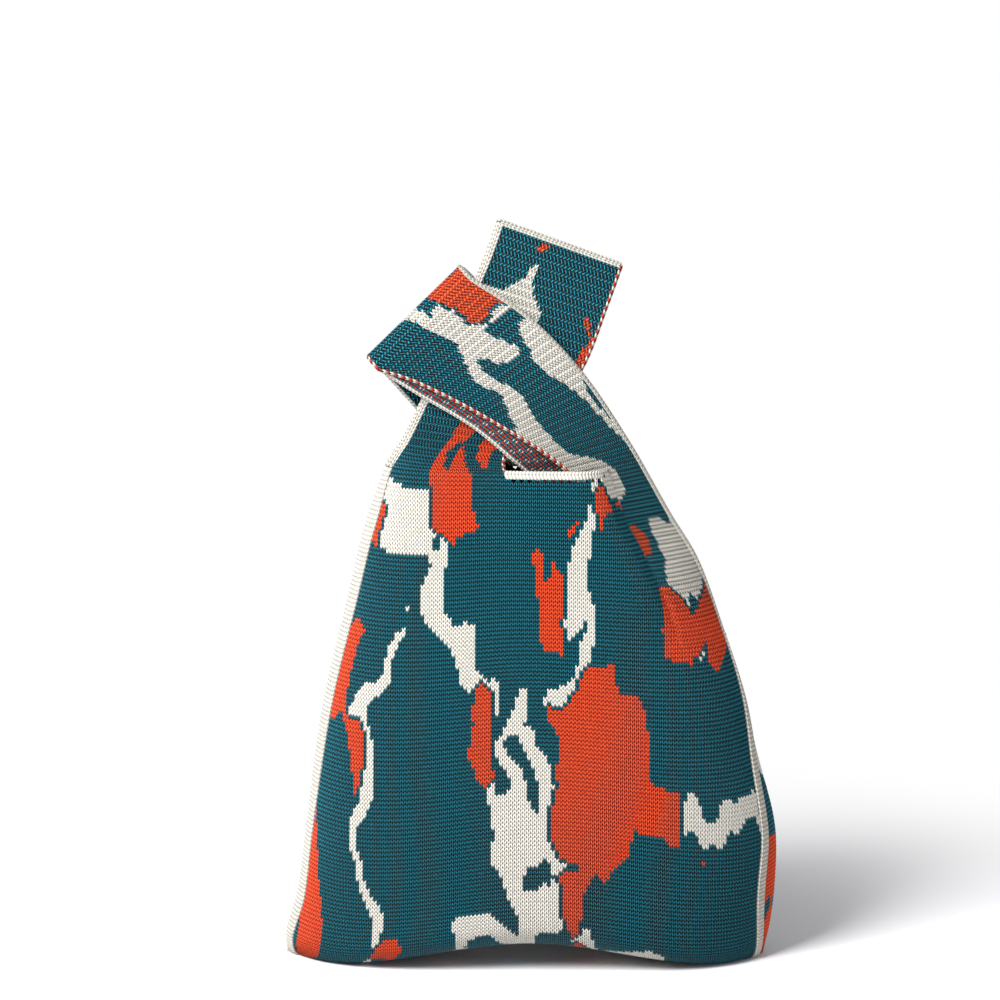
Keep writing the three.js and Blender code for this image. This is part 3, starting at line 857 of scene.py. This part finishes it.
def free_edge(name, grid, column, flip, yarn=candy, **place):
    """The bound edge of one half where the band is open, candy-striped or plain."""
    inner = inside_of(column)
    face = gradient_normals(grid)[:, column] * (-1 if flip else 1)
    edge = grid[:, column]
    return over_edge(name, edge, edge - face * FABRIC, outwards(edge, grid[:, inner]), [], yarn, wales=2,
                     reach=1.2 * MM, skirt=0.4 * MM, proud=0.35 * MM, thickness=0.6 * MM, **place)


def joined_edge(name, front, back, column, nodes, sink=0.0, **place):
    """The cream side seam that joins the two halves of a band along its outer edge. Where the inner half
    has fewer courses round the fold, its line is spread over the outer half's. At its root the seam lies
    sink further in, so that it meets the body's side seam."""
    inner = inside_of(column)
    extra = len(front) - len(back)
    at = np.interp(np.arange(len(front)), [0, 2 * OUTER_TURN, len(front) - 1],
                   [0, 2 * OUTER_TURN - extra, len(back) - 1])
    back = np.stack([[np.interp(at, np.arange(len(back)), back[:, c, axis]) for axis in range(3)]
                     for c in (column, inner)]).transpose(0, 2, 1)
    edge, other = front[:, column].copy(), back[0].copy()
    into = unit(front[:, inner] - edge), unit(back[1] - other)
    if sink:
        root = sink * (1 - smooth(0, 0.3, np.linspace(0, 1, len(front))))[:, None]
        edge, other = edge + into[0] * root, other + into[1] * root
        other[:, 1] = np.maximum(other[:, 1], edge[:, 1] + 1.0 * MM)
    return over_edge(name, edge, other, outwards(edge, front[:, inner]), nodes, plain, into=into, **place)


SHORT_EDGE = 4 * SHORT_WALES
thin = {"reach": 1.1 * MM, "skirt": 0.5 * MM, "wales": 3}
joined_edge("short_handle_side_seam_knit", short_front, short_back, SHORT_EDGE, ["short_handle_side_seam"],
            sink=0.5 * MM, **thin)
joined_edge("short_handle_tail_border_knit", tail_front, tail_back, SHORT_EDGE,
            ["short_handle_tail_border"], bend=tail_bend, **thin)
joined_edge("long_handle_border_knit", long_front, long_back, 0,
            ["long_handle_side_seam", "long_handle_end_border"], sink=1.2 * MM, bend=long_bend)
free_edge("short_handle_front_edge", short_front, 0, False)
free_edge("short_handle_back_edge", short_back, 0, True, plain)
free_edge("short_handle_tail_outer_edge", tail_front, 0, False, bend=tail_bend)
free_edge("short_handle_tail_inner_edge", tail_back, 0, True, plain, bend=tail_bend)
free_edge("long_handle_front_edge", long_front, long_front.shape[1] - 1, False, bend=long_bend)
free_edge("long_handle_back_edge", long_back, long_back.shape[1] - 1, True, bend=long_bend)


def end_strip(name, front, back, way, nodes, bend):
    """The strip that closes the end of a band, from one long edge to the other."""
    lines = 2 * SHORT_WALES + 1
    front, back = (row[np.linspace(0, len(row) - 1, lines).round().astype(int)]
                   for row in (front[-1], back[-1]))
    out = np.broadcast_to(way, (lines, 3))
    return over_edge(name, front, back, out, nodes, plain, wales=3, bend=bend,
                     reach=1.6 * MM, skirt=0.8 * MM)


end_strip("long_handle_end_seam_knit", long_front, long_back, ALONG, ["long_handle_end_seam"],
          long_bend)
end_strip("short_handle_end_seam_knit", tail_back, tail_front, TAIL_WAY / np.linalg.norm(TAIL_WAY),
          ["short_handle_end_seam"], tail_bend)


def neck_band(side):
    """The bound-off neck edge: a cream band with fine ribs across it, over the top of the panel."""
    body = front_body if side < 0 else back_body
    courses = 32
    ends = np.interp([NECK_LEFT - MM, NECK_RIGHT + 3 * MM], *body.face(-1))
    a = np.linspace(*ends, 2 * courses + 1)
    line = body.at(np.broadcast_to(a, (len(body.rows), len(a))))[-1]
    inside = line - [0, side * FABRIC, 0]
    title = "front" if side < 0 else "back"
    front, back = (line, inside) if side < 0 else (inside, line)
    up = np.broadcast_to([0.0, 0.0, 1.0], front.shape)
    return over_edge(f"{title}_neck_band_knit", front, back, up, [f"{title}_neck_band"], plain, wales=2,
                     reach=1.5 * MM, skirt=2.4 * MM, proud=0.6 * MM, relief=0.22 * MM, material=bound_yarn)


neck_band(-1)
neck_band(1)


def bottom_seam():
    """The join under the bag: a strip along x that lies under both panels' lower edges."""
    courses, wales = 104, 4
    u = np.linspace(0.02, 0.98, 2 * courses + 1)[:, None]
    y = np.linspace(-4, 4, 4 * wales + 1)[None, :] * MM
    v = np.arcsin(np.abs(y) / (BASE_DEPTH / 2)) / (math.pi / 2) * BEND
    grid = panel(1, *np.broadcast_arrays(u, v))
    grid[..., 1] = np.broadcast_to(y, grid.shape[:2])
    grid[..., 2] = np.maximum(grid[..., 2] - 0.6 * MM, 0.1 * MM)
    piece = knit("bottom_seam_knit", grid, plain(courses, wales), thickness=1.2 * MM, flip=True)
    return dress(piece, border_yarn, "cream_border", ["bottom_seam"])


bottom_seam()


# Studio. The camera has the photo's angle, from a guessed distance. PICTURE_WIDTH is what it takes in
# at the bag.

AIM = np.array([-14.6, 0, 211]) * MM
AZIMUTH, ELEVATION, DISTANCE = math.radians(1), math.radians(8), 1.6
PICTURE_WIDTH = 0.455
SENSOR = 36
PAPER_Z = -0.0004
MIDDLE = (0, 0, 0.15)       # of the bag, to which the lamps are turned


def turned_to(thing, place, target):
    """Put a lamp or a camera into the scene, turned to a target."""
    thing.location = place
    way = mathutils.Vector(np.array(target) - np.array(place))
    thing.rotation_euler = way.to_track_quat("-Z", "Y").to_euler()
    bpy.context.scene.collection.objects.link(thing)


def lamp(name, size, power, place):
    """A soft square lamp, white, turned to the middle of the bag."""
    light = bpy.data.lights.new(name, "AREA")
    light.size = size
    light.energy = power
    stand = bpy.data.objects.new(name, light)
    turned_to(stand, place, MIDDLE)


def paper_floor():
    """A sheet of matt white paper under the bag, which glows as the backdrop does further out, so that
    its edge doesn't show."""
    mesh = bpy.data.meshes.new("floor")
    corners = [(-4, -4, PAPER_Z), (4, -4, PAPER_Z), (4, 6, PAPER_Z), (-4, 6, PAPER_Z)]
    mesh.from_pydata(corners, [], [(0, 1, 2, 3)])
    floor = bpy.data.objects.new("floor", mesh)
    bpy.context.scene.collection.objects.link(floor)
    material = bpy.data.materials.new("white paper")
    material.use_nodes = True
    add = node_adder(material.node_tree)
    paper = add("BsdfDiffuse", {"Color": linear("#F4F4F6")})
    glow = add("Emission", {"Color": linear("#FFFFFF"), "Strength": 1.0})
    away = add("VectorMath", [add("TexCoord").outputs["Object"]], operation="LENGTH").outputs["Value"]
    fade = add("MapRange", {0: away, 1: 0.12, 2: 0.45}, interpolation_type="SMOOTHSTEP")
    seen = add("Math", [fade, add("LightPath").outputs["Is Camera Ray"]], operation="MULTIPLY")
    add("OutputMaterial", [add("MixShader", [seen, paper, glow])])
    mesh.materials.append(material)


def studio_world():
    """White to the camera, and a weak even light for the bag."""
    world = bpy.data.worlds.new("studio")
    bpy.context.scene.world = world
    world.use_nodes = True
    add = node_adder(world.node_tree)
    soft_light = add("Background", {"Color": linear("#FBFCFF"), "Strength": 0.4})
    backdrop = add("Background", {"Color": linear("#FFFFFF"), "Strength": 1.0})
    seen = add("LightPath").outputs["Is Camera Ray"]
    add("OutputWorld", [add("MixShader", [seen, soft_light, backdrop])])


def photo_camera():
    """The camera, nearly level and almost straight in front."""
    camera = bpy.data.objects.new("camera", bpy.data.cameras.new("camera"))
    camera.data.sensor_width = SENSOR
    camera.data.lens = SENSOR * DISTANCE / PICTURE_WIDTH
    camera.data.clip_start = 0.01
    way = np.array([math.sin(AZIMUTH) * math.cos(ELEVATION), -math.cos(AZIMUTH) * math.cos(ELEVATION),
                    math.sin(ELEVATION)])
    turned_to(camera, AIM + DISTANCE * way, AIM)
    return camera


lamp("key", 0.6, 36.0, (-0.7, -0.88, 1.0))
lamp("fill", 1.2, 4.0, (0.9, -1.1, 0.5))
paper_floor()
studio_world()
bpy.context.scene.camera = photo_camera()
bpy.context.scene.view_settings.view_transform = "Standard"
